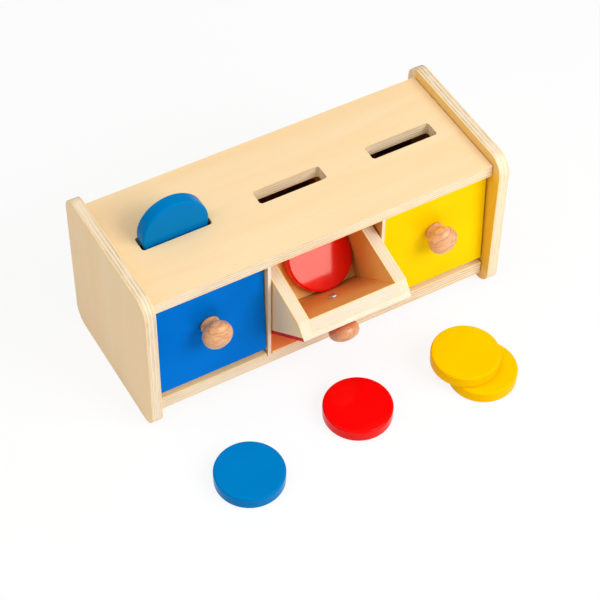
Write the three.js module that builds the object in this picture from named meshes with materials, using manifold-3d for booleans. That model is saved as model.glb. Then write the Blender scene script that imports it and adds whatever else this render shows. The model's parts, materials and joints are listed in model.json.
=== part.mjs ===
// Wooden posting box: three slots in the top, three tilting bins at the front, six painted discs.
// Millimetres, +Z up, -Y to the front. The origin is the middle of the bottom board's underside.

import * as THREE from 'three';
import { mergeVertices } from 'three/addons/utils/BufferGeometryUtils.js';
import Module from 'manifold-3d';

const wasm = await Module();
wasm.setup();

// Driving dimensions of the carcass
const boxLength = 330;
const panelThickness = 10;
const panelDepth = 141;
const panelHeight = 147;
const panelCornerRadius = 15;
const footDrop = 9;
const topBoardDrop = 9;
const topBoardThickness = 11.5;
const bottomBoardThickness = 13;
const boardFrontSetback = 9.5;
const boardBackSetback = 10.5;
const backPanelThickness = 3;
const backPanelHousing = 5;
const dividerThickness = 3;
const dividerHousing = 3;
const dividerTopStop = 8;
const housingClearance = 0.3;

// Dowels between the boards and the end panels
const dowelRadius = 3;
const dowelInPanel = 6;
const dowelInBoard = 16;
const dowelEdgeDistance = 24;
const dowelClearance = 0.3;

// Discs and the slots that they drop through
const discDiameter = 58;
const discThickness = 12;
const discEdgeEase = 1.2;
const slotEndClearance = 2;
const slotSideClearance = 3.4;
const slotCornerRadius = 1.5;
const slotCentreY = -0.1;

// Bins: the face, boards and floor, and where they turn
const binSideGap = 1.35;
const binTopGap = 3.25;
const binRearGap = 1.9;
const binFrontInset = 1.8;
const binSwingGap = 1.6;
const binRearHeight = 24;
const faceThickness = 3.2;
const frontBoardThickness = 12;
const cheekThickness = 10.2;
const binFloorThickness = 10;
const binFloorRise = 10.3;
const binFloorHousing = 3;
const binDiscClearance = 2.5;
const rearBoardThickness = 6;
const rearBoardHeight = 24;
const glueGap = 0.3;
const restGap = 0.3;
const pivotSetback = 13;
const pivotHeight = 21.4;
const pinRadius = 2;
const pinInPanel = 6;
const pinInCheek = 6;
const pinClearance = 0.2;
const pinEndClearance = 0.5;

// Knob and its screw
const knobHeight = 57;
const knobLength = 22;
const knobHeadRadius = 12.8;
const knobHeadWidest = 14.1;
const knobWaistRadius = 6.9;
const knobWaistDistance = 7.5;
const knobFootRadius = 8.4;
const knobFootRim = 1.5;
const screwRadius = 2;
const screwTip = 3;
const screwInKnob = 12;
const screwClearance = 0.3;
const screwHeadRadius = 4.2;
const screwHeadRim = 0.8;
const screwHeadHeight = 2.4;

// Where the discs are: the posted one's centre above the top board and its gap to the slot's rear side,
// and the loose ones along the box and in front of the end panels
const postedDiscRise = 5;
const postedDiscGap = 0.6;
const looseBlueX = -119.7;
const looseBlueGap = 51;
const looseRedX = -11.8;
const looseRedGap = 36;
const lowerYellowX = 98;
const lowerYellowGap = 52;
const upperYellowShiftX = -9.8;
const upperYellowShiftY = 12.2;

// How far a cutting shape runs past the face that it opens, and when two corners count as one
const cutOverrun = 1;
const mergeDistance = 0.0001;

// Facets of round shapes
const discSides = 40;
const knobSides = 24;
const pinSides = 24;
const screwSides = 16;
const dowelSides = 12;
const cornerSteps = 5;
const turnedSteps = 4;

// Sizes that follow from the driving dimensions
const innerLength = boxLength - 2 * panelThickness;
const panelFrontY = -panelDepth / 2;
const boardFrontY = panelFrontY + boardFrontSetback;
const boardBackY = panelDepth / 2 - boardBackSetback;
const panelBottomZ = -footDrop;
const panelTopZ = panelBottomZ + panelHeight;
const bottomTopZ = bottomBoardThickness;
const topTopZ = panelTopZ - topBoardDrop;
const topUnderZ = topTopZ - topBoardThickness;
const backInnerY = boardBackY - backPanelThickness;
const compartmentWidth = (innerLength - 2 * dividerThickness) / 3;
const binPitch = compartmentWidth + dividerThickness;
const discRadius = discDiameter / 2;
const slotLength = discDiameter + slotEndClearance;
const slotWidth = discThickness + slotSideClearance;

const binWidth = compartmentWidth - 2 * binSideGap;
const binInnerWidth = binWidth - 2 * cheekThickness;
const binSwingRadius = Math.hypot(pivotSetback, pivotHeight);
const pivotY = boardFrontY + binFrontInset + pivotSetback;
const pivotZ = bottomTopZ + binSwingGap + binSwingRadius;
const binHeight = pivotHeight + topUnderZ - pivotZ - binTopGap;
const binRearReach = Math.sqrt((backInnerY - binRearGap - pivotY) ** 2 - pivotHeight ** 2);
const binDepth = pivotSetback + binRearReach;
const cheekFront = faceThickness + glueGap;
const frontBoardInner = cheekFront + frontBoardThickness;
const binFloorTop = binFloorRise + binFloorThickness;
const rearBoardInner = frontBoardInner + discDiameter + binDiscClearance;
const binFloorRear = rearBoardInner + rearBoardThickness;

// A closed bin leans back until the cheeks' rear corner rests on the bottom board
const rearBottomReach = Math.hypot(binRearReach, pivotHeight);
const rearBottomAngle = Math.atan2(pivotHeight, binRearReach);
const closedTilt = rearBottomAngle - Math.asin((pivotZ - bottomTopZ - restGap) / rearBottomReach);

// An open bin tips forward until the cheeks' rear top corner meets the top board
const rearTopReach = Math.hypot(binRearReach, binRearHeight - pivotHeight);
const rearTopAngle = Math.atan2(binRearHeight - pivotHeight, binRearReach);
const openTilt = Math.asin((topUnderZ - pivotZ - restGap) / rearTopReach) - rearTopAngle;

// Solids: three.js shapes, cut where a piece needs it

function solidOf(geometry) {
  const bare = geometry.clone();
  bare.deleteAttribute('normal');
  bare.deleteAttribute('uv');
  const merged = mergeVertices(bare, mergeDistance);
  const mesh = new wasm.Mesh({
    numProp: 3,
    vertProperties: new Float32Array(merged.attributes.position.array),
    triVerts: new Uint32Array(merged.index.array),
  });
  return new wasm.Manifold(mesh);
}

function cut(geometry, ...tools) {
  let solid = solidOf(geometry);
  for (const tool of tools) {
    solid = solid.subtract(solidOf(tool));
  }
  const result = solid.getMesh();
  const piece = new THREE.BufferGeometry();
  piece.setAttribute('position', new THREE.BufferAttribute(new Float32Array(result.vertProperties), 3));
  piece.setIndex(new THREE.BufferAttribute(new Uint32Array(result.triVerts), 1));
  piece.computeVertexNormals();
  return piece;
}

// A block between two corners
function block(low, high) {
  const size = high.map((value, axis) => value - low[axis]);
  const middle = high.map((value, axis) => (value + low[axis]) / 2);
  return new THREE.BoxGeometry(...size).translate(...middle);
}

// A round bar along X between two ends
function barAlongX(radius, startX, endX, y, z, sides) {
  const bar = new THREE.CylinderGeometry(radius, radius, endX - startX, sides);
  return bar.rotateZ(-Math.PI / 2).translate((startX + endX) / 2, y, z);
}

// A round bar along Y between two ends
function barAlongY(radius, startY, endY, x, z, sides) {
  const bar = new THREE.CylinderGeometry(radius, radius, endY - startY, sides);
  return bar.translate(0, (startY + endY) / 2, 0).translate(x, 0, z);
}

function roundedRectangle(width, height, radius) {
  const shape = new THREE.Shape();
  const right = width / 2;
  const top = height / 2;
  shape.moveTo(-right + radius, -top);
  shape.lineTo(right - radius, -top);
  shape.absarc(right - radius, -top + radius, radius, -Math.PI / 2, 0);
  shape.lineTo(right, top - radius);
  shape.absarc(right - radius, top - radius, radius, 0, Math.PI / 2);
  shape.lineTo(-right + radius, top);
  shape.absarc(-right + radius, top - radius, radius, Math.PI / 2, Math.PI);
  shape.lineTo(-right, -top + radius);
  shape.absarc(-right + radius, -top + radius, radius, Math.PI, 1.5 * Math.PI);
  return shape;
}

// An outline drawn in (Y, Z), extruded along X from startX to endX
function plateAlongX(outline, startX, endX) {
  const settings = { depth: endX - startX, bevelEnabled: false, curveSegments: cornerSteps };
  const plate = new THREE.ExtrudeGeometry(outline, settings);
  const basis = new THREE.Matrix4().makeBasis(
    new THREE.Vector3(0, 1, 0),
    new THREE.Vector3(0, 0, 1),
    new THREE.Vector3(1, 0, 0),
  );
  return plate.applyMatrix4(basis).translate(startX, 0, 0);
}

// A turned solid on the Z axis, from a path of (radius, height) that starts and ends on the axis
function turned(profile, sides) {
  return new THREE.LatheGeometry(profile.getPoints(turnedSteps), sides).rotateX(Math.PI / 2);
}

// Finishes

function finish(color, roughness, metalness = 0) {
  return () => new THREE.MeshStandardMaterial({ color, roughness, metalness });
}

const birchPlywood = finish(0xf0d5a4, 0.55);
const thinPlywood = finish(0xe6c693, 0.6);
const beech = finish(0xe0a468, 0.45);
const steel = finish(0xb9bcc0, 0.3, 1);
const bluePaint = finish(0x0070d6, 0.4);
const redPaint = finish(0xe61310, 0.4);
const yellowPaint = finish(0xfbd500, 0.4);
const blueGloss = finish(0x0080c8, 0.25);
const redGloss = finish(0xf50a06, 0.25);
const yellowGloss = finish(0xffd000, 0.25);

function piece(name, geometry, material) {
  const mesh = new THREE.Mesh(geometry, material());
  mesh.name = name;
  return mesh;
}

// Carcass

const dowelRows = [
  { row: 'top', z: (topTopZ + topUnderZ) / 2 },
  { row: 'bottom', z: bottomBoardThickness / 2 },
];
const dowelPlaces = [
  { end: 'front', y: boardFrontY + dowelEdgeDistance },
  { end: 'back', y: boardBackY - dowelEdgeDistance },
];
const bothSides = [
  { side: 'left', sign: -1 },
  { side: 'right', sign: 1 },
];

// The two ends of a bar that crosses an end panel's inner face, in rising order of X
function acrossJoint(sign, inPanel, inwards) {
  const faceX = sign * innerLength / 2;
  const outer = faceX + sign * inPanel;
  const inner = faceX - sign * inwards;
  return [Math.min(outer, inner), Math.max(outer, inner)];
}

function dowelHoles(sign, rows) {
  const holes = [];
  const reach = acrossJoint(sign, dowelInPanel + dowelClearance, dowelInBoard + dowelClearance);
  for (const { z } of rows) {
    for (const { y } of dowelPlaces) {
      holes.push(barAlongX(dowelRadius + dowelClearance, ...reach, y, z, dowelSides));
    }
  }
  return holes;
}

function endPanel(sign) {
  const outline = roundedRectangle(panelDepth, panelHeight, panelCornerRadius);
  const faces = [sign * innerLength / 2, sign * boxLength / 2].sort((a, b) => a - b);
  const plate = plateAlongX(outline, ...faces).translate(0, 0, (panelBottomZ + panelTopZ) / 2);
  const pinReach = acrossJoint(sign, pinInPanel + pinEndClearance, cutOverrun);
  const pinHole = barAlongX(pinRadius + pinClearance, ...pinReach, pivotY, pivotZ, pinSides);
  return cut(plate, ...dowelHoles(sign, dowelRows), pinHole);
}

const dividerPlaces = [
  { side: 'left', x: -binPitch / 2 },
  { side: 'right', x: binPitch / 2 },
];

// Grooves for the dividers and a rebate for the back panel, cut into a board's inner face
function boardHousings(faceZ, inwards, grooveFrontY) {
  const tools = [];
  const halfGroove = dividerThickness / 2 + housingClearance;
  const grooveZ = [faceZ + inwards * dividerHousing, faceZ - inwards * cutOverrun].sort((a, b) => a - b);
  for (const { x } of dividerPlaces) {
    const low = [x - halfGroove, grooveFrontY, grooveZ[0]];
    const high = [x + halfGroove, backInnerY - housingClearance, grooveZ[1]];
    tools.push(block(low, high));
  }
  const rebateZ = [faceZ + inwards * backPanelHousing, faceZ - inwards * cutOverrun].sort((a, b) => a - b);
  const rebateLow = [-innerLength / 2 - cutOverrun, backInnerY - housingClearance, rebateZ[0]];
  const rebateHigh = [innerLength / 2 + cutOverrun, boardBackY + cutOverrun, rebateZ[1]];
  tools.push(block(rebateLow, rebateHigh));
  return tools;
}

function board(lowZ, highZ) {
  return block([-innerLength / 2, boardFrontY, lowZ], [innerLength / 2, boardBackY, highZ]);
}

function slotCutter(x) {
  const outline = roundedRectangle(slotLength, slotWidth, slotCornerRadius);
  const depth = topBoardThickness + 2 * cutOverrun;
  const settings = { depth, bevelEnabled: false, curveSegments: cornerSteps };
  return new THREE.ExtrudeGeometry(outline, settings).translate(x, slotCentreY, topUnderZ - cutOverrun);
}

const binPlaces = [
  { bin: 'left', x: -binPitch },
  { bin: 'middle', x: 0 },
  { bin: 'right', x: binPitch },
];

// The top board's grooves stop short of its front edge, so none shows there
function topBoard() {
  const [topRow] = dowelRows;
  const housings = boardHousings(topUnderZ, 1, boardFrontY + dividerTopStop);
  const holes = bothSides.flatMap(({ sign }) => dowelHoles(sign, [topRow]));
  const slots = binPlaces.map(({ x }) => slotCutter(x));
  return cut(board(topUnderZ, topTopZ), ...housings, ...holes, ...slots);
}

// The bottom board's grooves run out at its front edge
function bottomBoard() {
  const [, bottomRow] = dowelRows;
  const housings = boardHousings(bottomTopZ, -1, boardFrontY - cutOverrun);
  const holes = bothSides.flatMap(({ sign }) => dowelHoles(sign, [bottomRow]));
  return cut(board(0, bottomTopZ), ...housings, ...holes);
}

function backPanel() {
  const halfLength = innerLength / 2 - housingClearance;
  const low = [-halfLength, backInnerY, bottomTopZ - backPanelHousing + housingClearance];
  const high = [halfLength, boardBackY, topUnderZ + backPanelHousing - housingClearance];
  return block(low, high);
}

// A divider's top front corner is notched to end flush under the top board
function divider(x) {
  const halfThickness = dividerThickness / 2;
  const lowZ = bottomTopZ - dividerHousing + housingClearance;
  const highZ = topUnderZ + dividerHousing - housingClearance;
  const rearY = backInnerY - 2 * housingClearance;
  const sheet = block([x - halfThickness, boardFrontY, lowZ], [x + halfThickness, rearY, highZ]);
  const cutterHalf = halfThickness + cutOverrun;
  const notchRearY = boardFrontY + dividerTopStop + housingClearance;
  const notchLow = [x - cutterHalf, boardFrontY - cutOverrun, topUnderZ];
  const notchHigh = [x + cutterHalf, notchRearY, highZ + cutOverrun];
  const holeRadius = pinRadius + pinClearance;
  const pinHole = barAlongX(holeRadius, x - cutterHalf, x + cutterHalf, pivotY, pivotZ, pinSides);
  return cut(sheet, block(notchLow, notchHigh), pinHole);
}

function carcass() {
  const group = new THREE.Group();
  for (const { side, sign } of bothSides) {
    group.add(piece(`${side}_end_panel`, endPanel(sign), birchPlywood));
  }
  group.add(piece('top_board', topBoard(), birchPlywood));
  group.add(piece('bottom_board', bottomBoard(), birchPlywood));
  group.add(piece('back_panel', backPanel(), thinPlywood));
  for (const { side, x } of dividerPlaces) {
    group.add(piece(`${side}_divider`, divider(x), thinPlywood));
  }
  for (const { side, sign } of bothSides) {
    for (const { row, z } of dowelRows) {
      for (const { end, y } of dowelPlaces) {
        const reach = acrossJoint(sign, dowelInPanel, dowelInBoard);
        const dowel = barAlongX(dowelRadius, ...reach, y, z, dowelSides);
        group.add(piece(`${row}_${side}_${end}_dowel`, dowel, beech));
      }
    }
  }
  return group;
}

// Steel pivot pins: one in each end panel, one through each divider

function pivotPins() {
  const group = new THREE.Group();
  for (const { side, sign } of bothSides) {
    const reach = acrossJoint(sign, pinInPanel, binSideGap + pinInCheek);
    const pin = barAlongX(pinRadius, ...reach, pivotY, pivotZ, pinSides);
    group.add(piece(`${side}_end_pivot_pin`, pin, steel));
  }
  const halfLength = dividerThickness / 2 + binSideGap + pinInCheek;
  for (const { side, x } of dividerPlaces) {
    const pin = barAlongX(pinRadius, x - halfLength, x + halfLength, pivotY, pivotZ, pinSides);
    group.add(piece(`${side}_divider_pivot_pin`, pin, steel));
  }
  return group;
}

// Bins, each drawn upright about its pivot: Y runs back from the pivot, Z up from it

function inBin(depth, height) {
  return [depth - pivotSetback, height - pivotHeight];
}

function binBlock(halfWidth, depths, heights) {
  const [lowY, lowZ] = inBin(depths[0], heights[0]);
  const [highY, highZ] = inBin(depths[1], heights[1]);
  return block([-halfWidth, lowY, lowZ], [halfWidth, highY, highZ]);
}

function screwHole(depths) {
  const [startY, z] = inBin(depths[0], knobHeight);
  const [endY] = inBin(depths[1], knobHeight);
  return barAlongY(screwRadius + screwClearance, startY, endY, 0, z, screwSides);
}

function cheek(sign) {
  const outline = new THREE.Shape();
  const corners = [
    [cheekFront, 0],
    [binDepth, 0],
    [binDepth, binRearHeight],
    [frontBoardInner, binHeight],
    [cheekFront, binHeight],
  ];
  outline.setFromPoints(corners.map(([depth, height]) => new THREE.Vector2(...inBin(depth, height))));
  const innerX = sign * binInnerWidth / 2;
  const outerX = sign * binWidth / 2;
  const plate = plateAlongX(outline, Math.min(innerX, outerX), Math.max(innerX, outerX));
  const grooveDepths = [frontBoardInner, binFloorRear + glueGap];
  const grooveHeights = [binFloorRise - glueGap, binFloorTop + glueGap];
  const groove = binBlock(binInnerWidth / 2 + binFloorHousing, grooveDepths, grooveHeights);
  const holeInner = outerX - sign * (pinInCheek + pinEndClearance);
  const holeOuter = outerX + sign * cutOverrun;
  const holeEnds = [Math.min(holeInner, holeOuter), Math.max(holeInner, holeOuter)];
  const pinHole = barAlongX(pinRadius + pinClearance, ...holeEnds, 0, 0, pinSides);
  return cut(plate, groove, pinHole);
}

function binFace() {
  const plate = binBlock(binWidth / 2, [0, faceThickness], [0, binHeight]);
  return cut(plate, screwHole([-cutOverrun, faceThickness + cutOverrun]));
}

function frontBoard() {
  const plate = binBlock(binInnerWidth / 2 - glueGap, [cheekFront, frontBoardInner], [0, binHeight]);
  return cut(plate, screwHole([cheekFront - cutOverrun, frontBoardInner + cutOverrun]));
}

function binFloor() {
  const halfWidth = binInnerWidth / 2 + binFloorHousing - glueGap;
  return binBlock(halfWidth, [frontBoardInner + glueGap, binFloorRear], [binFloorRise, binFloorTop]);
}

// A low board across the floor's rear end keeps the discs in
function rearBoard() {
  const foot = binFloorTop + glueGap;
  const heights = [foot, foot + rearBoardHeight];
  return binBlock(binInnerWidth / 2 - glueGap, [rearBoardInner, binFloorRear], heights);
}

// The knob's outline runs from its foot on the face, in to the waist and out to a domed head
function knob() {
  const outline = new THREE.Path();
  outline.moveTo(0, 0);
  outline.lineTo(knobFootRadius, 0);
  outline.lineTo(knobFootRadius, knobFootRim);
  outline.quadraticCurveTo(knobWaistRadius, knobFootRim, knobWaistRadius, knobWaistDistance);
  outline.quadraticCurveTo(knobHeadRadius, knobWaistDistance, knobHeadRadius, knobHeadWidest);
  outline.absellipse(0, knobHeadWidest, knobHeadRadius, knobLength - knobHeadWidest, 0, Math.PI / 2);
  const [footY, z] = inBin(-glueGap, knobHeight);
  const body = turned(outline, knobSides).rotateX(Math.PI / 2).translate(0, footY, z);
  const holeDepth = screwInKnob + screwClearance;
  return cut(body, screwHole([-glueGap - holeDepth, cutOverrun]));
}

// The screw's head sits on the front board's inner face, and its shank reaches into the knob
function knobScrew() {
  const headSeat = frontBoardInner + glueGap;
  const shank = headSeat + glueGap + screwInKnob;
  const outline = new THREE.Path();
  outline.moveTo(0, -shank);
  outline.lineTo(screwRadius, screwTip - shank);
  outline.lineTo(screwRadius, 0);
  outline.lineTo(screwHeadRadius, 0);
  outline.lineTo(screwHeadRadius, screwHeadRim);
  outline.absellipse(0, screwHeadRim, screwHeadRadius, screwHeadHeight - screwHeadRim, 0, Math.PI / 2);
  const [seatY, z] = inBin(headSeat, knobHeight);
  return turned(outline, screwSides).rotateX(-Math.PI / 2).translate(0, seatY, z);
}

function bin(name, x, tilt, paint) {
  const group = new THREE.Group();
  group.add(piece(`${name}_bin_face`, binFace(), paint));
  group.add(piece(`${name}_bin_front_board`, frontBoard(), birchPlywood));
  for (const { side, sign } of bothSides) {
    group.add(piece(`${name}_bin_${side}_cheek`, cheek(sign), birchPlywood));
  }
  group.add(piece(`${name}_bin_floor`, binFloor(), birchPlywood));
  group.add(piece(`${name}_bin_rear_board`, rearBoard(), birchPlywood));
  group.add(piece(`${name}_bin_knob`, knob(), beech));
  group.add(piece(`${name}_bin_knob_screw`, knobScrew(), steel));
  group.position.set(x, pivotY, pivotZ);
  group.rotation.x = tilt;
  return group;
}

// Discs, each turned on its own axis with its lower face at height 0

function disc() {
  const outline = new THREE.Path();
  outline.moveTo(0, 0);
  outline.lineTo(discRadius - discEdgeEase, 0);
  outline.lineTo(discRadius, discEdgeEase);
  outline.lineTo(discRadius, discThickness - discEdgeEase);
  outline.lineTo(discRadius - discEdgeEase, discThickness);
  outline.lineTo(0, discThickness);
  return turned(outline, discSides);
}

function looseDisc(name, paint, x, y, layer) {
  const mesh = piece(name, disc(), paint);
  mesh.position.set(x, y, panelBottomZ + layer * discThickness);
  return mesh;
}

function looseDiscs() {
  const group = new THREE.Group();
  const placeY = (gap) => panelFrontY - gap - discRadius;
  const lowerY = placeY(lowerYellowGap);
  const upperX = lowerYellowX + upperYellowShiftX;
  const upperY = lowerY + upperYellowShiftY;
  group.add(looseDisc('loose_blue_disc', blueGloss, looseBlueX, placeY(looseBlueGap), 0));
  group.add(looseDisc('loose_red_disc', redGloss, looseRedX, placeY(looseRedGap), 0));
  group.add(looseDisc('lower_yellow_disc', yellowGloss, lowerYellowX, lowerY, 0));
  group.add(looseDisc('upper_yellow_disc', yellowGloss, upperX, upperY, 1));
  return group;
}

// A blue disc stands half-way through the left slot
function postedDisc() {
  const mesh = piece('posted_blue_disc', disc(), blueGloss);
  mesh.rotation.x = Math.PI / 2;
  const rearY = slotCentreY + slotWidth / 2 - postedDiscGap;
  mesh.position.set(binPlaces[0].x, rearY, topTopZ + postedDiscRise);
  return mesh;
}

// A red disc lies on the open bin's floor, down against its front board and right cheek
function binnedDisc() {
  const mesh = piece('binned_red_disc', disc(), redGloss);
  const [restY, restZ] = inBin(frontBoardInner + restGap + discRadius, binFloorTop + restGap);
  mesh.position.set(binInnerWidth / 2 - restGap - discRadius, restY, restZ);
  return mesh;
}

const postingBox = new THREE.Group();
postingBox.add(carcass());
postingBox.add(pivotPins());
const binPaints = { left: bluePaint, middle: redPaint, right: yellowPaint };
for (const { bin: name, x } of binPlaces) {
  const isOpen = name === 'middle';
  const group = bin(name, x, isOpen ? openTilt : closedTilt, binPaints[name]);
  if (isOpen) {
    group.add(binnedDisc());
  }
  postingBox.add(group);
}
postingBox.add(postedDisc());
postingBox.add(looseDiscs());

export default postingBox;
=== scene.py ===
"""Looks of the wooden posting box: plywood box, tilting bins, turned knobs and painted discs."""

import json
import math

import bmesh
import bpy
from mathutils import Matrix, Vector

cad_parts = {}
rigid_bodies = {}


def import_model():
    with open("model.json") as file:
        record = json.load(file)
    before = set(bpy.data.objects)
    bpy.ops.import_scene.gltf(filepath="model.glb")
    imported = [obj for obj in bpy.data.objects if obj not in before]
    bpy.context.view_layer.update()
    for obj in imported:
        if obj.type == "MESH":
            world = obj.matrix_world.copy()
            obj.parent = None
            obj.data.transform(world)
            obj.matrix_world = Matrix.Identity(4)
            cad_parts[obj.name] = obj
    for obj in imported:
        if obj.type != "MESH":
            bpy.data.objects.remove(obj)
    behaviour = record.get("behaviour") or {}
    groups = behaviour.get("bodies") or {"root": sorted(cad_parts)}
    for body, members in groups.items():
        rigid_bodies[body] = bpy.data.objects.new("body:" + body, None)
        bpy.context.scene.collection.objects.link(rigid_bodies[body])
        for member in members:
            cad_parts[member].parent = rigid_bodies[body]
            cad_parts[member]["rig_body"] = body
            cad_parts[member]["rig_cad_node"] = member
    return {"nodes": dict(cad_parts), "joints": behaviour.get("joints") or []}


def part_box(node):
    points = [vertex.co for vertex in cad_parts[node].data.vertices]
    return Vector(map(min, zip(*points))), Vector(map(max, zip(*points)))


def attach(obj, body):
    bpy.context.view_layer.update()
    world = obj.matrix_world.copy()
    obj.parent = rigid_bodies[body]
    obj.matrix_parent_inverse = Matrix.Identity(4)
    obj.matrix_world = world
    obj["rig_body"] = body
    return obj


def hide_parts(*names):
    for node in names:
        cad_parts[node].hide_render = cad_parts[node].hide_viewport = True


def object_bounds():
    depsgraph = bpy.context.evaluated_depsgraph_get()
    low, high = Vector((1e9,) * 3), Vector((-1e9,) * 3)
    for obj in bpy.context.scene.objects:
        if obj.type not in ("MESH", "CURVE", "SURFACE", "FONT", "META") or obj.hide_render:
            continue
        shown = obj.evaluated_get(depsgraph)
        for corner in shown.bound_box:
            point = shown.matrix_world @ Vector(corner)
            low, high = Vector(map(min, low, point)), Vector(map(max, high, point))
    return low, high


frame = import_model()
cad_low, cad_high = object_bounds()
nodes = frame["nodes"]

MM = 0.001
X_AXIS = Vector((1, 0, 0))
Y_AXIS = Vector((0, 1, 0))
Z_AXIS = Vector((0, 0, 1))

# Sizes that the solids give
table_z = cad_low.z
joint_places = {joint["name"]: joint.get("pos_m") for joint in frame["joints"]}
bin_pivots = {name: Vector(joint_places[f"{name}_bin_tilt"]) for name in ("left", "middle", "right")}
closed_tilt = math.radians(-2.875)
open_tilt = math.radians(50.038)
bin_tilts = {"left": closed_tilt, "middle": open_tilt, "right": closed_tilt}

# Sizes of the turned and rounded pieces
panel_corner_radius = 15 * MM
panel_corner_steps = 14
drill_sides = 24
hole_clearance = 0.3 * MM
pin_clearance = 0.2 * MM
sheet_ease = 0.7 * MM
slot_underside_round = 1 * MM
slot_underside_steps = 4
slot_rim_ease = 0.3 * MM
slot_rim_steps = 2
slot_reach = 12 * MM
rim_tolerance = 0.1 * MM
board_end_gap = 0.7 * MM
thin_sheet_ease = 0.35 * MM
face_ease = 0.5 * MM
disc_radius = 29 * MM
disc_thickness = 12 * MM
disc_ease = 1.9 * MM
disc_ease_steps = 6
disc_sides = 128
knob_foot_y = -13.3 * MM
knob_z = 35.6 * MM
knob_length = 22 * MM
knob_head_radius = 12.8 * MM
knob_head_widest = 14.1 * MM
knob_waist_radius = 6.9 * MM
knob_waist_distance = 7.5 * MM
knob_foot_radius = 8.4 * MM
knob_foot_rim = 1.5 * MM
knob_foot_ease = 0.5 * MM
knob_waist_steps = 10
knob_neck_steps = 14
knob_dome_steps = 18
knob_smooth_angle = 60
turning_steps = 72
screw_seat_y = 2.8 * MM
screw_shank = 28.1 * MM
screw_tip = 3 * MM
screw_radius = 2 * MM
screw_head_radius = 4.2 * MM
screw_head_rim = 0.8 * MM
screw_head_height = 2.4 * MM
screw_dome_steps = 8
screw_cross_length = 4.4 * MM
screw_cross_width = 0.9 * MM
screw_cross_depth = 2.6 * MM
screw_turn = math.radians(32)

# Sheets of the box and of the bins
panel_plies = 7
board_plies = 9
back_plies = 3
divider_plies = 5
front_board_thickness = 12 * MM
front_board_plies = 9
cheek_plies = 7
cheek_ply_contrast = 0.4
bin_floor_thickness = 10 * MM
bin_floor_plies = 7
rear_board_thickness = 6 * MM
rear_board_plies = 5

# Places in an upright bin, from its pivot
face_top_height = 74.61 * MM
face_glue_y = -9.65 * MM
bin_inner_half = 39.12 * MM
glue_gap = 0.3 * MM
glue_reach = 0.4 * MM


# Bench work: selecting, editing and placing a piece


def take_up(piece):
    bpy.ops.object.select_all(action="DESELECT")
    piece.select_set(True)
    bpy.context.view_layer.objects.active = piece


def start_edit(piece, picking="EDGE"):
    take_up(piece)
    bpy.ops.object.mode_set(mode="EDIT")
    bpy.ops.mesh.select_mode(type=picking)


def leave_edit():
    bpy.ops.object.mode_set(mode="OBJECT")


def new_piece(name):
    piece = bpy.context.active_object
    piece.name = name
    piece.data.name = name
    return piece


def fix_place(piece):
    take_up(piece)
    bpy.ops.object.transform_apply(location=True, rotation=True, scale=True)


def apply_modifier(piece, kind, **settings):
    take_up(piece)
    modifier = piece.modifiers.new(kind.lower(), kind)
    for key, value in settings.items():
        setattr(modifier, key, value)
    bpy.ops.object.modifier_apply(modifier=modifier.name)


def select_edges(piece, wanted):
    bpy.ops.mesh.select_all(action="DESELECT")
    mesh = bmesh.from_edit_mesh(piece.data)
    for edge in mesh.edges:
        edge.select_set(wanted(edge))
    mesh.select_flush_mode()
    bmesh.update_edit_mesh(piece.data)


def is_arris(edge):
    return edge.is_manifold and edge.is_convex and edge.calc_face_angle() > math.radians(40)


def ease_arrises(piece, width, steps=3, stays_square=None):
    start_edit(piece)
    select_edges(piece, lambda edge: is_arris(edge) and not (stays_square and stays_square(edge)))
    bpy.ops.mesh.bevel(offset=width, segments=steps, affect="EDGES", clamp_overlap=True)
    leave_edit()


def press_out(piece, direction, distance):
    """Moves the faces that look in one direction, up to the piece that they are glued to."""
    start_edit(piece, "FACE")
    bpy.ops.mesh.select_all(action="DESELECT")
    mesh = bmesh.from_edit_mesh(piece.data)
    for face in mesh.faces:
        face.select_set(face.normal.dot(direction) > 0.99)
    mesh.select_flush_mode()
    bmesh.update_edit_mesh(piece.data)
    bpy.ops.transform.translate(value=direction * distance)
    leave_edit()


def smooth_faces(piece, angle=35):
    take_up(piece)
    bpy.ops.object.shade_smooth_by_angle(angle=math.radians(angle))
    apply_modifier(piece, "WEIGHTED_NORMAL", keep_sharp=True, weight=50)


def mount(piece, body, slot, material, *stands_for):
    piece.data.materials.clear()
    piece.data.materials.append(material)
    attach(piece, body)
    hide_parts(*stands_for)


def copy_of(node):
    """A copy of a solid, its triangles merged into whole faces."""
    take_up(nodes[node])
    bpy.ops.object.duplicate()
    piece = new_piece(f"{node}_finished")
    piece.parent = None
    del piece["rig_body"]
    del piece["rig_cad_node"]
    start_edit(piece)
    bpy.ops.mesh.select_all(action="SELECT")
    bpy.ops.mesh.remove_doubles(threshold=0.01 * MM)
    bpy.ops.mesh.normals_make_consistent(inside=False)
    bpy.ops.mesh.dissolve_limited(angle_limit=math.radians(1))
    leave_edit()
    return piece


def eased_copy(node, width):
    piece = copy_of(node)
    ease_arrises(piece, width)
    smooth_faces(piece)
    return piece


# Finishes


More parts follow.
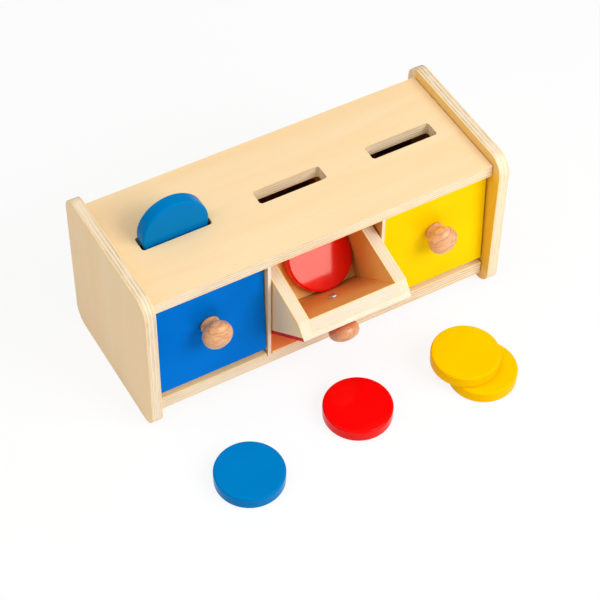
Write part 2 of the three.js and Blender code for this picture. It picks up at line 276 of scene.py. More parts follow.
class Finish:
    """One material, put together node by node."""

    def __init__(self, name):
        self.material = bpy.data.materials.new(name)
        self.material.use_nodes = True
        self.tree = self.material.node_tree
        self.shader = self.tree.nodes["Principled BSDF"]

    def put(self, socket, value):
        if isinstance(value, bpy.types.NodeSocket):
            self.tree.links.new(value, socket)
        else:
            socket.default_value = value

    def node(self, kind, **inputs):
        made = self.tree.nodes.new(kind)
        for key, value in inputs.items():
            self.put(made.inputs[key.replace("_", " ")], value)
        return made

    def surface(self, **inputs):
        for key, value in inputs.items():
            self.put(self.shader.inputs[key.replace("_", " ")], value)

    def placed(self, centre, along, facing):
        """Metres from centre: along the grain, across it, and out through the face."""
        across = facing.cross(along)
        turn = Matrix((along, across, facing)).transposed().to_euler()
        coordinates = self.tree.nodes.new("ShaderNodeTexCoord").outputs["Object"]
        mapping = self.tree.nodes.new("ShaderNodeMapping")
        mapping.vector_type = "TEXTURE"
        self.put(mapping.inputs["Vector"], coordinates)
        self.put(mapping.inputs["Location"], centre)
        self.put(mapping.inputs["Rotation"], turn)
        return mapping.outputs[0]

    def stretched(self, vector, scale, shift=(0, 0, 0)):
        return self.node("ShaderNodeMapping", Vector=vector, Scale=scale, Location=shift).outputs[0]

    def noise(self, vector, detail=2.0, roughness=0.5, distortion=0.0):
        made = self.node(
            "ShaderNodeTexNoise",
            Vector=vector,
            Scale=1.0,
            Detail=detail,
            Roughness=roughness,
            Distortion=distortion,
        )
        return made.outputs[0]

    def sum(self, operation, first, second=0.0):
        made = self.tree.nodes.new("ShaderNodeMath")
        made.operation = operation
        self.put(made.inputs[0], first)
        self.put(made.inputs[1], second)
        return made.outputs[0]

    def spread(self, value, low, high, to_low=0.0, to_high=1.0):
        made = self.node(
            "ShaderNodeMapRange",
            Value=value,
            From_Min=low,
            From_Max=high,
            To_Min=to_low,
            To_Max=to_high,
        )
        made.interpolation_type = "SMOOTHSTEP"
        return made.outputs[0]

    def mixed(self, share, first, second, mode="MIX"):
        made = self.tree.nodes.new("ShaderNodeMix")
        made.data_type = "RGBA"
        made.blend_type = mode
        self.put(made.inputs[0], share)
        self.put(made.inputs[6], first)
        self.put(made.inputs[7], second)
        return made.outputs[2]

    def relief(self, height, strength, distance):
        bump = self.node("ShaderNodeBump", Height=height, Strength=strength, Distance=distance)
        self.put(self.shader.inputs["Normal"], bump.outputs[0])


def opaque(red, green, blue):
    return (red, green, blue, 1.0)


def grey(level):
    return opaque(level, level, level)


birch_pale = opaque(0.98, 0.745, 0.44)
birch_figure = opaque(0.97, 0.675, 0.355)
birch_fleck = opaque(0.62, 0.38, 0.17)
edge_pale = opaque(0.97, 0.81, 0.57)
edge_cross = opaque(0.88, 0.67, 0.43)
edge_dark = opaque(0.43, 0.28, 0.16)
no_tint = opaque(1.0, 1.0, 1.0)
# Painted warm bounce light, off the painted faces and the red disc, for inner faces
painted_bounce_tint = opaque(1.0, 0.85, 0.44)
# Painted shade with warm bounce light, for the bins' front boards and the right divider
painted_shade_bounce_tint = opaque(0.86, 0.56, 0.26)
# Dark painted shade, for the back panel's inner face seen through the slots
painted_dark_shade_tint = opaque(0.25, 0.12, 0.08)
# Painted shade and red bounce light, for the bottom board under the open bin
shaded_tint = opaque(1.0, 0.62, 0.32)
# Painted yellow bounce light off the yellow face, for the right panel's strip beside it
painted_yellow_bounce_tint = opaque(1.0, 0.98, 0.28)
# Painted shade on the cheeks' rims
cheek_rim_painted_shade = opaque(0.88, 0.88, 0.91)
# A painted highlight on the dividers' front edges
divider_rim_painted_highlight = opaque(1.03, 1.06, 1.35)
# Painted shade on the front boards' rims
front_rim_painted_shade = opaque(0.89, 0.85, 0.92)
# Painted shade on the bare top edges of the painted faces
face_rim_painted_shade = opaque(0.78, 0.73, 0.85)

# Scales of the plywood's noises in steps a metre: along the grain, across it and through the sheet
figure_scale = (5, 60, 60)
cloud_scale = (7, 16, 16)
fibre_scale = (55, 1500, 1500)
fleck_scale = (150, 1900, 1900)
streak_scale = (70, 70, 1100)
wander_scale = (14, 14, 0)
ply_wander = 0.25 * MM
patch_softness = 1 * MM


def toned(colour, tint):
    return tuple(part * share for part, share in zip(colour, tint))


def between(first, second, share):
    return tuple(start + (end - start) * share for start, end in zip(first, second))


def plywood(
    name,
    centre,
    grain,
    facing,
    thickness,
    plies,
    shift,
    painted_light_tint=no_tint,
    rim=no_tint,
    painted_light_patches=(),
    ply_contrast=1.0,
):
    """Birch plywood: veneer on the faces, painted light and shade tinted onto the facing one, and plies on
    the edges.

    A patch is painted light on the facing veneer: a tint, how far it reaches from the middle along the
    grain, and where it ends across it.
    """
    # The rim tint puts painted shade on the bins' rims and a painted highlight on the dividers' front
    # edges
    pale = toned(edge_pale, rim)
    tan = between(pale, toned(edge_cross, rim), ply_contrast)
    dark = between(pale, toned(edge_dark, rim), ply_contrast)
    finish = Finish(name)
    sheet = finish.placed(centre, grain, facing)
    offset = (shift, 2.7 * shift, 5.1 * shift)
    figure = finish.noise(finish.stretched(sheet, figure_scale, offset), 3.0, 0.55, 0.5)
    cloud = finish.noise(finish.stretched(sheet, cloud_scale, offset), 2.0)
    fibre = finish.noise(finish.stretched(sheet, fibre_scale, offset), 2.0, 0.6)
    flecks = finish.noise(finish.stretched(sheet, fleck_scale, offset), 1.0)
    streaks = finish.noise(finish.stretched(sheet, streak_scale, offset), 3.0, 0.6)

    veneer = finish.mixed(finish.spread(figure, 0.35, 0.72, 0.0, 0.7), birch_pale, birch_figure)
    veneer = finish.mixed(finish.spread(cloud, 0.3, 0.75, 0.0, 0.35), veneer, birch_figure)
    veneer = finish.mixed(finish.spread(fibre, 0.45, 0.8, 0.0, 0.25), veneer, birch_figure)
    veneer = finish.mixed(finish.spread(flecks, 0.66, 0.8, 0.0, 0.3), veneer, birch_fleck)

    along, across, through = finish.node("ShaderNodeSeparateXYZ", Vector=sheet).outputs
    facing_side = finish.spread(through, 0.475 * thickness, 0.49 * thickness)
    # Painted bounce light and shade, as a tint over the facing veneer
    veneer = finish.mixed(facing_side, veneer, painted_light_tint, "MULTIPLY")
    from_centre = finish.sum("ABSOLUTE", along)
    # Patches of painted bounce light and shade over part of the facing veneer
    for painted_patch_tint, reach, end in painted_light_patches:
        within_reach = finish.spread(from_centre, reach - patch_softness, reach + patch_softness, 1.0, 0.0)
        before_end = finish.spread(across, end - patch_softness, end + patch_softness, 1.0, 0.0)
        patch = finish.sum("MULTIPLY", within_reach, before_end)
        patched = finish.sum("MULTIPLY", facing_side, patch)
        veneer = finish.mixed(patched, veneer, painted_patch_tint, "MULTIPLY")
    wander = finish.noise(finish.stretched(sheet, wander_scale, offset), 1.0)
    wobble = finish.spread(wander, 0.2, 0.8, -ply_wander, ply_wander)
    depth = finish.sum("ADD", through, wobble)
    share = finish.sum("ADD", finish.sum("DIVIDE", depth, thickness), 0.5)
    inside = finish.sum("MINIMUM", finish.sum("MAXIMUM", share, 0.004), 0.996)
    level = finish.sum("MULTIPLY", inside, float(plies))
    cross = finish.sum("MODULO", finish.sum("FLOOR", level), 2.0)
    from_middle = finish.sum("ABSOLUTE", finish.sum("SUBTRACT", share, 0.5))
    inner = finish.spread(from_middle, 0.5 - 1.0 / plies, 0.5 - 0.98 / plies, 1.0, 0.0)
    within = finish.sum("ABSOLUTE", finish.sum("SUBTRACT", finish.sum("FRACT", level), 0.5))
    seam = finish.spread(within, 0.40, 0.5)

    cross_ply = finish.mixed(finish.spread(streaks, 0.35, 0.65, 0.0, 0.7), tan, dark)
    cross_ply = finish.mixed(finish.spread(cloud, 0.35, 0.65, 0.25, 0.9), cross_ply, pale)
    long_ply = finish.mixed(finish.spread(fibre, 0.4, 0.8, 0.0, 0.6), pale, tan)
    long_ply = finish.mixed(inner, veneer, long_ply)
    colour = finish.mixed(cross, long_ply, cross_ply)
    line = finish.sum("MULTIPLY", seam, finish.spread(streaks, 0.35, 0.65, 0.2, 0.9))
    face_free = finish.sum("MULTIPLY", line, finish.spread(from_middle, 0.46, 0.485, 1.0, 0.0))
    colour = finish.mixed(face_free, colour, dark)

    finish.surface(
        Base_Color=colour,
        Roughness=finish.spread(fibre, 0.3, 0.7, 0.46, 0.56),
        Specular_IOR_Level=0.35,
    )
    finish.relief(fibre, 0.12, 0.15 * MM)
    return finish.material


# Scales of the paints' noises in steps a metre
satin_cloud_scale = (18, 18, 18)
satin_grain_scale = (30, 700, 700)
satin_peel_scale = (900, 900, 900)
bare_fibre_scale = (60, 60, 1300)
bare_edge_ragged = 0.15 * MM
gloss_cloud_scale = (26, 26, 26)
gloss_peel_scale = (420, 420, 420)


def satin_paint(name, colour, shade, tint, pivot, tilt, top_height):
    """Satin paint on a bin's face, with the plywood bare along its top edge."""
    finish = Finish(name)
    out = Vector((0, -math.cos(tilt), -math.sin(tilt)))
    face = finish.placed(pivot, X_AXIS, out)
    cloud = finish.noise(finish.stretched(face, satin_cloud_scale), 2.0)
    grain = finish.noise(finish.stretched(face, satin_grain_scale), 2.0)
    peel = finish.noise(finish.stretched(face, satin_peel_scale), 1.0)
    coat = finish.mixed(finish.spread(cloud, 0.35, 0.7, 0.0, 0.5), colour, shade)
    coat = finish.mixed(finish.spread(grain, 0.5, 0.8, 0.0, 0.25), coat, shade)
    separate = finish.node("ShaderNodeSeparateXYZ", Vector=face)
    ragged = finish.spread(peel, 0.3, 0.7, -bare_edge_ragged, bare_edge_ragged)
    height = finish.sum("ADD", separate.outputs[1], ragged)
    bare = finish.spread(height, top_height - 0.5 * MM, top_height - 0.3 * MM)
    fibre = finish.noise(finish.stretched(face, bare_fibre_scale), 2.0, 0.6)
    # Painted shade on the bare top edge
    pale = toned(edge_pale, face_rim_painted_shade)
    tan = toned(edge_cross, face_rim_painted_shade)
    wood = finish.mixed(finish.spread(fibre, 0.35, 0.75), pale, tan)
    finish.surface(
        Base_Color=finish.mixed(bare, coat, wood),
        Roughness=finish.spread(peel, 0.3, 0.7, 0.30, 0.36),
        Metallic=0.2,
        Specular_IOR_Level=0.02,
        Specular_Tint=tint,
    )
    finish.relief(finish.sum("ADD", peel, grain), 0.06, 0.1 * MM)
    return finish.material


def gloss_paint(name, colour, shade, tint, gloss, centre, axis):
    """Glossy paint on a turned disc, a little thinner over its arrises."""
    finish = Finish(name)
    side = X_AXIS if abs(axis.x) < 0.5 else Y_AXIS
    disc = finish.placed(centre, side, axis)
    cloud = finish.noise(finish.stretched(disc, gloss_cloud_scale), 2.0)
    peel = finish.noise(finish.stretched(disc, gloss_peel_scale), 1.0)
    flat = finish.stretched(disc, (1, 1, 0))
    radius = finish.node("ShaderNodeVectorMath", Vector=flat)
    radius.operation = "LENGTH"
    rim = finish.spread(radius.outputs["Value"], disc_radius - 2.4 * MM, disc_radius - 0.6 * MM)
    worn = finish.sum("MULTIPLY", rim, finish.spread(cloud, 0.4, 0.7, 0.1, 0.5))
    coat = finish.mixed(finish.spread(cloud, 0.35, 0.75, 0.0, 0.35), colour, shade)
    finish.surface(
        Base_Color=finish.mixed(worn, coat, shade),
        Roughness=finish.spread(peel, 0.3, 0.7, 0.08, 0.12),
        Specular_IOR_Level=gloss,
        Specular_Tint=tint,
    )
    finish.relief(peel, 0.05, 0.15 * MM)
    return finish.material


beech_pale = opaque(0.86, 0.47, 0.225)
beech_mid = opaque(0.65, 0.28, 0.11)
beech_dark = opaque(0.40, 0.17, 0.07)
beech_ring_spacing = 5.5 * MM
beech_ring_sway = 4.5
beech_sway_scale = (45, 110, 60)
beech_fleck_scale = (400, 1500, 300)
beech_cloud_scale = (70, 150, 60)
zinc_pale = opaque(0.80, 0.80, 0.81)
zinc_grey = opaque(0.64, 0.64, 0.66)
zinc_spangle_scale = (900, 900, 900)


def turned_beech(name, centre, grain, axis, shift):
    """Turned beech: uneven growth rings along the grain and short flecks along the axis."""
    finish = Finish(name)
    turning = finish.placed(centre, grain, axis)
    offset = (shift, 1.9 * shift, 3.3 * shift)
    sway = finish.noise(finish.stretched(turning, beech_sway_scale, offset), 2.0, 0.6, 0.6)
    fleck = finish.noise(finish.stretched(turning, beech_fleck_scale, offset), 2.0, 0.6)
    cloud = finish.noise(finish.stretched(turning, beech_cloud_scale, offset), 2.0)
    separate = finish.node("ShaderNodeSeparateXYZ", Vector=turning)
    across = finish.sum("DIVIDE", separate.outputs[1], beech_ring_spacing)
    swayed = finish.sum("ADD", across, finish.sum("MULTIPLY", sway, beech_ring_sway))
    turns = finish.sum("FRACT", swayed)
    ending = finish.spread(turns, 0.95, 1.0)
    late = finish.sum("SUBTRACT", finish.spread(turns, 0.2, 0.95), ending)
    line = finish.sum("SUBTRACT", finish.spread(turns, 0.75, 0.95), ending)
    broken = finish.spread(cloud, 0.4, 0.65, 0.1, 0.8)
    colour = finish.mixed(finish.spread(cloud, 0.3, 0.7, 0.0, 0.5), beech_pale, beech_mid)
    colour = finish.mixed(finish.sum("MULTIPLY", late, 0.6), colour, beech_mid)
    colour = finish.mixed(finish.sum("MULTIPLY", line, broken), colour, beech_dark)
    colour = finish.mixed(finish.spread(fleck, 0.56, 0.75, 0.0, 0.45), colour, beech_dark)
    finish.surface(
        Base_Color=colour,
        Roughness=finish.spread(fleck, 0.3, 0.7, 0.28, 0.38),
        Specular_IOR_Level=0.5,
    )
    finish.relief(fleck, 0.1, 0.1 * MM)
    return finish.material


def zinc_steel():
    finish = Finish("zinc_steel")
    place = finish.placed(Vector((0, 0, 0)), X_AXIS, Z_AXIS)
    spangle = finish.noise(finish.stretched(place, zinc_spangle_scale), 3.0)
    finish.surface(
        Base_Color=finish.mixed(spangle, zinc_pale, zinc_grey),
        Roughness=finish.spread(spangle, 0.3, 0.7, 0.40, 0.55),
        Metallic=1.0,
    )
    finish.relief(spangle, 0.05, 0.05 * MM)
    return finish.material


# Carcass


def middle_of(node):
    low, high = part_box(node)
    return (low + high) / 2


def size_of(node):
    low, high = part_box(node)
    return high - low


def bore(piece, peg, clearance):
    """A blind hole for a peg along X, as much wider than the peg as the clearance."""
    size = size_of(peg)
    bpy.ops.object.select_all(action="DESELECT")
    bpy.ops.mesh.primitive_cylinder_add(
        vertices=drill_sides,
        radius=size.z / 2 + clearance,
        depth=size.x + 2 * clearance,
        location=middle_of(peg),
        rotation=(0, math.pi / 2, 0),
    )
    drill = bpy.context.active_object
    apply_modifier(piece, "BOOLEAN", operation="DIFFERENCE", object=drill, solver="EXACT")
    bpy.data.objects.remove(drill)


def end_panel(side, shift, inwards, painted_light_patches=()):
    node = f"{side}_end_panel"
    bpy.ops.object.select_all(action="DESELECT")
    bpy.ops.mesh.primitive_cube_add(size=1, location=middle_of(node), scale=size_of(node))
    panel = new_piece(f"{node}_finished")
    fix_place(panel)
    start_edit(panel)
    select_edges(panel, lambda edge: abs((edge.verts[0].co - edge.verts[1].co).x) > MM)
    bpy.ops.mesh.bevel(offset=panel_corner_radius, segments=panel_corner_steps, affect="EDGES")
    leave_edit()
    ease_arrises(panel, sheet_ease)
    for row in ("top", "bottom"):
        for end in ("front", "back"):
            bore(panel, f"{row}_{side}_{end}_dowel", hole_clearance)
    bore(panel, f"{side}_end_pivot_pin", pin_clearance)
    smooth_faces(panel)
    thickness = size_of(node).x
    finish = plywood(
        f"{side}_panel_plywood",
        middle_of(node),
        Z_AXIS,
        inwards,
        thickness,
        panel_plies,
        shift,
        painted_light_patches=painted_light_patches,
    )
    mount(panel, "carcass", "birch_plywood", finish, node)


def is_slot_rim(edge, rim_z):
    """Whether an edge is part of a slot's rim at one height."""
    flat = all(abs(vert.co.z - rim_z) < rim_tolerance for vert in edge.verts)
    beside_slot = all(abs(vert.co.y) < slot_reach for vert in edge.verts)
    return flat and beside_slot


def flat_board(node, shift, painted_light_patches=()):
    board = copy_of(node)
    for direction in (X_AXIS, -X_AXIS):
        press_out(board, direction, -board_end_gap)
    low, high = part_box(node)
    slot_rims = (
        (low.z, slot_underside_round, slot_underside_steps),
        (high.z, slot_rim_ease, slot_rim_steps),
    )
    start_edit(board)
    for rim_z, width, steps in slot_rims:
        select_edges(board, lambda edge: is_slot_rim(edge, rim_z))
        bpy.ops.mesh.bevel(offset=width, segments=steps, affect="EDGES", clamp_overlap=True)
    leave_edit()
    ease_arrises(board, sheet_ease)
    smooth_faces(board)
    thickness = size_of(node).z
    finish = plywood(
        f"{node}_plywood",
        middle_of(node),
        X_AXIS,
        Z_AXIS,
        thickness,
        board_plies,
        shift,
        painted_light_patches=painted_light_patches,
    )
    mount(board, "carcass", "birch_plywood", finish, node)


def back_sheet():
    node = "back_panel"
    sheet = eased_copy(node, thin_sheet_ease)
    thickness = size_of(node).y
    finish = plywood(
        "back_panel_plywood",
        middle_of(node),
        X_AXIS,
        -Y_AXIS,
        thickness,
        back_plies,
        7.7,
        # painted shade on the inner face
        painted_dark_shade_tint,
    )
    mount(sheet, "carcass", "thin_plywood", finish, node)


def divider_sheet(side, shift, painted_light_tint):
    node = f"{side}_divider"
    sheet = eased_copy(node, thin_sheet_ease)
    thickness = size_of(node).x
    finish = plywood(
        f"{node}_plywood",
        middle_of(node),
        Z_AXIS,
        -X_AXIS,
        thickness,
        divider_plies,
        shift,
        painted_light_tint,
        # painted highlight on the front edges
        divider_rim_painted_highlight,
    )
    mount(sheet, "carcass", "thin_plywood", finish, node)


# Bins


def in_bin(name, place):
    """The matrix of a place drawn in an upright bin, about its pivot."""
    tilt = Matrix.Rotation(bin_tilts[name], 4, "X")
    return Matrix.Translation(bin_pivots[name]) @ tilt @ place


def turned(name, outline):
    """A turned piece on the Z axis, spun from its outline of radius and height."""
    bpy.ops.object.select_all(action="DESELECT")
    bpy.ops.mesh.primitive_plane_add(size=MM)
    piece = new_piece(name)
    start_edit(piece, "VERT")
    bpy.ops.mesh.select_all(action="SELECT")
    bpy.ops.mesh.merge(type="CENTER")
    radius, height = outline[0]
    bpy.ops.transform.translate(value=(radius, 0, height))
    for next_radius, next_height in outline[1:]:
        step = (next_radius - radius, 0, next_height - height)
        bpy.ops.mesh.extrude_vertices_move(TRANSFORM_OT_translate={"value": step})
        radius, height = next_radius, next_height
    bpy.ops.mesh.select_all(action="SELECT")
    bpy.ops.mesh.spin(steps=turning_steps, angle=2 * math.pi, center=(0, 0, 0), axis=(0, 0, 1))
    bpy.ops.mesh.select_all(action="SELECT")
    bpy.ops.mesh.remove_doubles(threshold=0.005 * MM)
    bpy.ops.mesh.normals_make_consistent(inside=False)
    leave_edit()
    return piece


def curve(start, pull, end, steps):
    """Points on a curve from start to end, bent towards the pull."""
    points = []
    for step in range(1, steps + 1):
        t = step / steps
        weights = ((1 - t) ** 2, 2 * t * (1 - t), t**2)
        along = [sum(w * p[axis] for w, p in zip(weights, (start, pull, end))) for axis in (0, 1)]
        points.append(tuple(along))
    return points


def dome(radius, low, high, steps):
    points = []
    for step in range(1, steps + 1):
        angle = math.pi / 2 * step / steps
        points.append((radius * math.cos(angle), low + (high - low) * math.sin(angle)))
    return points


def knob_outline():
    foot = (knob_foot_radius, knob_foot_rim)
    waist = (knob_waist_radius, knob_waist_distance)
    widest = (knob_head_radius, knob_head_widest)
    points = [(0, 0), (knob_foot_radius - knob_foot_ease, 0), (knob_foot_radius, knob_foot_ease), foot]
    points += curve(foot, (knob_waist_radius, knob_foot_rim), waist, knob_waist_steps)
    points += curve(waist, (knob_head_radius, knob_waist_distance), widest, knob_neck_steps)
    points += dome(knob_head_radius, knob_head_widest, knob_length, knob_dome_steps)
    return points


def screw_outline():
    points = [(0, -screw_shank), (screw_radius, screw_tip - screw_shank), (screw_radius, 0)]
    points += [(screw_head_radius, 0), (screw_head_radius, screw_head_rim)]
    points += dome(screw_head_radius, screw_head_rim, screw_head_height, screw_dome_steps)
    return points


def add_knob(name, grain_turn, shift):
    knob = turned(f"{name}_bin_knob_finished", knob_outline())
    place = Matrix.Translation((0, knob_foot_y, knob_z)) @ Matrix.Rotation(math.pi / 2, 4, "X")
    knob.matrix_world = in_bin(name, place)
    fix_place(knob)
    smooth_faces(knob, knob_smooth_angle)
    axis = in_bin(name, place).to_3x3() @ Z_AXIS
    foot = in_bin(name, place).translation
    grain = Matrix.Rotation(math.radians(grain_turn), 3, axis) @ X_AXIS
    finish = turned_beech(f"{name}_knob_beech", foot, grain, axis, shift)
    mount(knob, f"{name}_bin", "beech", finish, f"{name}_bin_knob")


def add_screw(name, finish):
    screw = turned(f"{name}_bin_knob_screw_finished", screw_outline())
    for turn in (0, math.pi / 2):
        bpy.ops.object.select_all(action="DESELECT")
        bpy.ops.mesh.primitive_cube_add(
            size=1,
            location=(0, 0, screw_head_height),
            scale=(screw_cross_length, screw_cross_width, screw_cross_depth),
            rotation=(0, 0, turn),
        )
        cross = bpy.context.active_object
        apply_modifier(screw, "BOOLEAN", operation="DIFFERENCE", object=cross, solver="EXACT")
        bpy.data.objects.remove(cross)
    place = Matrix.Translation((0, screw_seat_y, knob_z)) @ Matrix.Rotation(-math.pi / 2, 4, "X")
    turned_in = Matrix.Rotation(screw_turn, 4, "Z")
    screw.matrix_world = in_bin(name, place @ turned_in)
    fix_place(screw)
    smooth_faces(screw)
    mount(screw, f"{name}_bin", "steel", finish, f"{name}_bin_knob_screw")


def is_glued(name, edge):
    """Whether an edge lies on the glue line behind the face, or along a cheek's inner side."""
    middle = (edge.verts[0].co + edge.verts[1].co) / 2
    place = in_bin(name, Matrix.Identity(4)).inverted() @ middle
    behind_face = abs(place.y - face_glue_y) < glue_reach
    inside_cheek = abs(abs(place.x) - bin_inner_half) < glue_reach
    return behind_face or inside_cheek


def bin_piece(name, part, width, pressed=()):
    piece = copy_of(f"{name}_bin_{part}")
    for direction in pressed:
        press_out(piece, direction, glue_gap)
    ease_arrises(piece, width, stays_square=lambda edge: is_glued(name, edge))
    smooth_faces(piece)
    return piece


# A bin's sheets get painted warm bounce light on their inner faces, unless another tint is given
def bin_sheet(
    name, part, along, facing, thickness, plies, shift, painted_light_tint=painted_bounce_tint, pressed=(), **edge_look
):
    node = f"{name}_bin_{part}"
    sheet = bin_piece(name, part, sheet_ease, pressed)
    finish = plywood(
        f"{node}_plywood",
        middle_of(node),
        along,
        facing,
        thickness,
        plies,
        shift,
        painted_light_tint,
        **edge_look,
    )
    mount(sheet, f"{name}_bin", "birch_plywood", finish, node)


def add_bin(name, colour, shade, tint, slot, shift):
    tilt = bin_tilts[name]
    back = Vector((0, math.cos(tilt), math.sin(tilt)))
    up = Vector((0, -math.sin(tilt), math.cos(tilt)))
    face = bin_piece(name, "face", face_ease, [back])
    paint = satin_paint(slot, colour, shade, tint, bin_pivots[name], tilt, face_top_height)
    mount(face, f"{name}_bin", slot, paint, f"{name}_bin_face")
    bin_sheet(
        name,
        "front_board",
        X_AXIS,
        back,
        front_board_thickness,
        front_board_plies,
        shift,
        # painted shade with warm bounce light on the inner face
        painted_light_tint=painted_shade_bounce_tint,
        # painted shade on the rim
        rim=front_rim_painted_shade,
        pressed=[X_AXIS, -X_AXIS],
    )
    for side, inwards in (("left", X_AXIS), ("right", -X_AXIS)):
        thickness = size_of(f"{name}_bin_{side}_cheek").x
        bin_sheet(
            name,
            f"{side}_cheek",
            back,
            inwards,
            thickness,
            cheek_plies,
            shift + len(side),
            # painted shade on the rims
            rim=cheek_rim_painted_shade,
            ply_contrast=cheek_ply_contrast,
        )
    bin_sheet(name, "floor", X_AXIS, up, bin_floor_thickness, bin_floor_plies, shift + 2)
    bin_sheet(name, "rear_board", X_AXIS, -back, rear_board_thickness, rear_board_plies, shift + 3)


# Discs


def add_disc(node, body, slot, colour, shade, tint, gloss, axis):
    turn = Z_AXIS.rotation_difference(axis).to_euler()
    bpy.ops.object.select_all(action="DESELECT")
    bpy.ops.mesh.primitive_cylinder_add(
        vertices=disc_sides,
        radius=disc_radius,
        depth=disc_thickness,
        location=middle_of(node),
        rotation=turn,
    )
    disc = new_piece(f"{node}_finished")
    fix_place(disc)
    ease_arrises(disc, disc_ease, disc_ease_steps)
    smooth_faces(disc)
    finish = gloss_paint(f"{node}_paint", colour, shade, tint, gloss, middle_of(node), axis)
    mount(disc, body, slot, finish, node)


# Making it all

# Patches of painted light: warm and yellow bounce light on the right panel's inner face, shade and red
# bounce light under the open bin
bounce_on_inner_face = (painted_bounce_tint, 100 * MM, 60 * MM)
yellow_bounce_beside_bin = (painted_yellow_bounce_tint, 58 * MM, 0)
shade_under_open_bin = (shaded_tint, 52 * MM, 0)
end_panel("left", 1.3, X_AXIS)
end_panel("right", 4.1, -X_AXIS, (bounce_on_inner_face, yellow_bounce_beside_bin))
flat_board("top_board", 0.4)
flat_board("bottom_board", 2.2, (shade_under_open_bin,))
back_sheet()
divider_sheet("left", 3.1, no_tint)
# The right divider's facing side gets painted shade with warm bounce light
divider_sheet("right", 5.6, painted_shade_bounce_tint)

blue = opaque(0.0, 0.19, 0.70)
blue_shade = opaque(0.0, 0.16, 0.60)
red = opaque(0.80, 0.012, 0.010)
red_shade = opaque(0.70, 0.010, 0.008)
yellow = opaque(0.98, 0.70, 0.001)
yellow_shade = opaque(0.94, 0.62, 0.001)
blue_tint = opaque(0.05, 0.7, 1.0)
red_tint = opaque(1.0, 0.97, 0.80)
yellow_tint = opaque(1.0, 0.9, 0.1)
add_bin("left", blue, blue_shade, blue_tint, "blue_paint", 6.2)
add_bin("middle", red, red_shade, red_tint, "red_paint", 8.3)
add_bin("right", yellow, yellow_shade, yellow_tint, "yellow_paint", 9.7)
steel = zinc_steel()
knob_grain_turns = {"left": 0, "middle": 30, "right": 20}
for index, (bin_name, grain_turn) in enumerate(knob_grain_turns.items()):
    add_knob(bin_name, grain_turn, 1.7 * index)
    add_screw(bin_name, steel)

gloss_blue = opaque(0.0, 0.205, 0.54)
gloss_blue_shade = opaque(0.0, 0.18, 0.49)
gloss_red = opaque(0.93, 0.002, 0.002)
gloss_red_shade = opaque(0.80, 0.002, 0.002)
gloss_yellow = opaque(0.98, 0.56, 0.0)
gloss_yellow_shade = opaque(0.93, 0.49, 0.0)
blue_disc_shine = 0.05
binned_disc_shine = 0.43
loose_red_shine = 0.12
yellow_disc_shine = 0.02
blue_coat = ("blue_gloss", gloss_blue, gloss_blue_shade, blue_tint)
red_coat = ("red_gloss", gloss_red, gloss_red_shade, red_tint)
yellow_coat = ("yellow_gloss", gloss_yellow, gloss_yellow_shade, yellow_tint)
open_axis = Vector((0, -math.sin(open_tilt), math.cos(open_tilt)))
add_disc("posted_blue_disc", "posted_disc", *blue_coat, blue_disc_shine, -Y_AXIS)
add_disc("loose_blue_disc", "loose_blue", *blue_coat, blue_disc_shine, Z_AXIS)
add_disc("binned_red_disc", "binned_disc", *red_coat, binned_disc_shine, open_axis)
add_disc("loose_red_disc", "loose_red", *red_coat, loose_red_shine, Z_AXIS)
add_disc("lower_yellow_disc", "lower_yellow", *yellow_coat, yellow_disc_shine, Z_AXIS)
add_disc("upper_yellow_disc", "upper_yellow", *yellow_coat, yellow_disc_shine, Z_AXIS)

# Pins and dowels keep their solids
for node, solid in nodes.items():
    if node.endswith("_dowel"):
        solid.data.materials.clear()
        wood = turned_beech(f"{node}_beech", middle_of(node), Y_AXIS, X_AXIS, 2.9)
        solid.data.materials.append(wood)
    if node.endswith("_pivot_pin"):
        solid.data.materials.clear()
        solid.data.materials.append(steel)


# Table, lamps and camera

table_span = 60
table_bounce = 0.86
table_seen = 0.95
table_glow = 0.86
room_light = 0.33
box_middle = (0, 0, 0.07)
camera_place = (-0.541312, -0.947889, 1.239718)
camera_turn = (41.10386, -0.61699, -29.53681)
camera_lens = 116.45
camera_sensor = 36


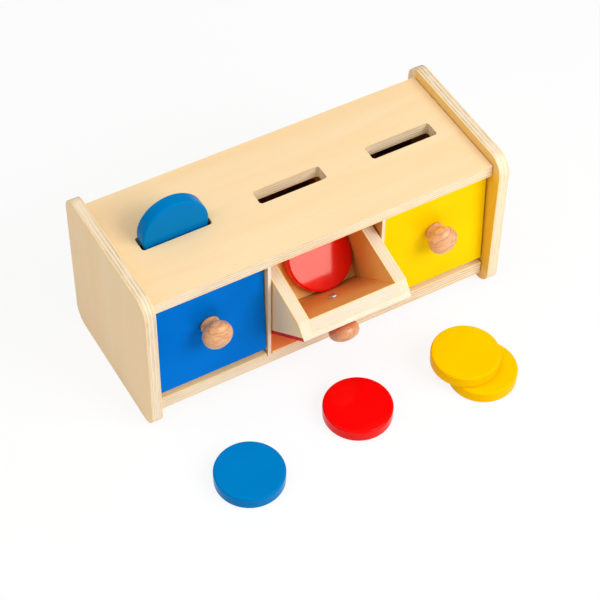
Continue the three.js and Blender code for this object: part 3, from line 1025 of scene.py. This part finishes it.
def add_table():
    bpy.ops.object.select_all(action="DESELECT")
    bpy.ops.mesh.primitive_plane_add(size=table_span, location=(0, 0, table_z))
    table = new_piece("table")
    finish = Finish("white_table")
    paths = finish.tree.nodes.new("ShaderNodeLightPath").outputs
    seen = finish.sum("MAXIMUM", paths["Is Camera Ray"], paths["Is Glossy Ray"])
    seen = finish.sum("MAXIMUM", seen, paths["Is Transmission Ray"])
    white = finish.node("ShaderNodeEmission", Color=grey(1.0), Strength=1.0)
    sheet = finish.mixed(seen, grey(table_bounce), grey(table_seen))
    finish.surface(Base_Color=sheet, Roughness=0.9, Specular_IOR_Level=0.0)
    blend = finish.node("ShaderNodeMixShader")
    finish.put(blend.inputs[0], finish.sum("MULTIPLY", seen, table_glow))
    finish.put(blend.inputs[1], finish.shader.outputs[0])
    finish.put(blend.inputs[2], white.outputs[0])
    finish.put(finish.tree.nodes["Material Output"].inputs["Surface"], blend.outputs[0])
    table.data.materials.append(finish.material)


def add_lamp(name, place, aim, width, height, power, shows_in_gloss):
    bpy.ops.object.light_add(type="AREA", location=place)
    lamp = bpy.context.active_object
    lamp.name = name
    lamp.data.shape = "RECTANGLE"
    lamp.data.size = width
    lamp.data.size_y = height
    lamp.data.energy = power
    lamp.rotation_euler = (Vector(aim) - Vector(place)).to_track_quat("-Z", "Y").to_euler()
    lamp.visible_camera = False
    lamp.visible_glossy = shows_in_gloss


add_table()
add_lamp(
    "overhead_softbox",
    place=(-0.5, 0.0, 1.85),
    aim=(0, 0, 0),
    width=1.4,
    height=1.4,
    power=10.8,
    shows_in_gloss=False,
)
add_lamp(
    "key_softbox",
    place=(0.587, -1.016, 0.92),
    aim=box_middle,
    width=0.95,
    height=0.85,
    power=15.4,
    shows_in_gloss=True,
)
add_lamp(
    "left_fill",
    place=(-1.3, 0.1, 0.85),
    aim=box_middle,
    width=1.0,
    height=1.0,
    power=3.0,
    shows_in_gloss=False,
)

world = bpy.data.worlds.new("studio")
bpy.context.scene.world = world
world.use_nodes = True
world.node_tree.nodes["Background"].inputs["Color"].default_value = grey(1.0)
world.node_tree.nodes["Background"].inputs["Strength"].default_value = room_light

bpy.ops.object.camera_add(
    location=camera_place,
    rotation=[math.radians(angle) for angle in camera_turn],
)
camera = bpy.context.active_object
camera.name = "camera"
camera.data.sensor_width = camera_sensor
camera.data.lens = camera_lens
camera.data.clip_end = 100
bpy.context.scene.camera = camera
bpy.context.scene.view_settings.view_transform = "Standard"
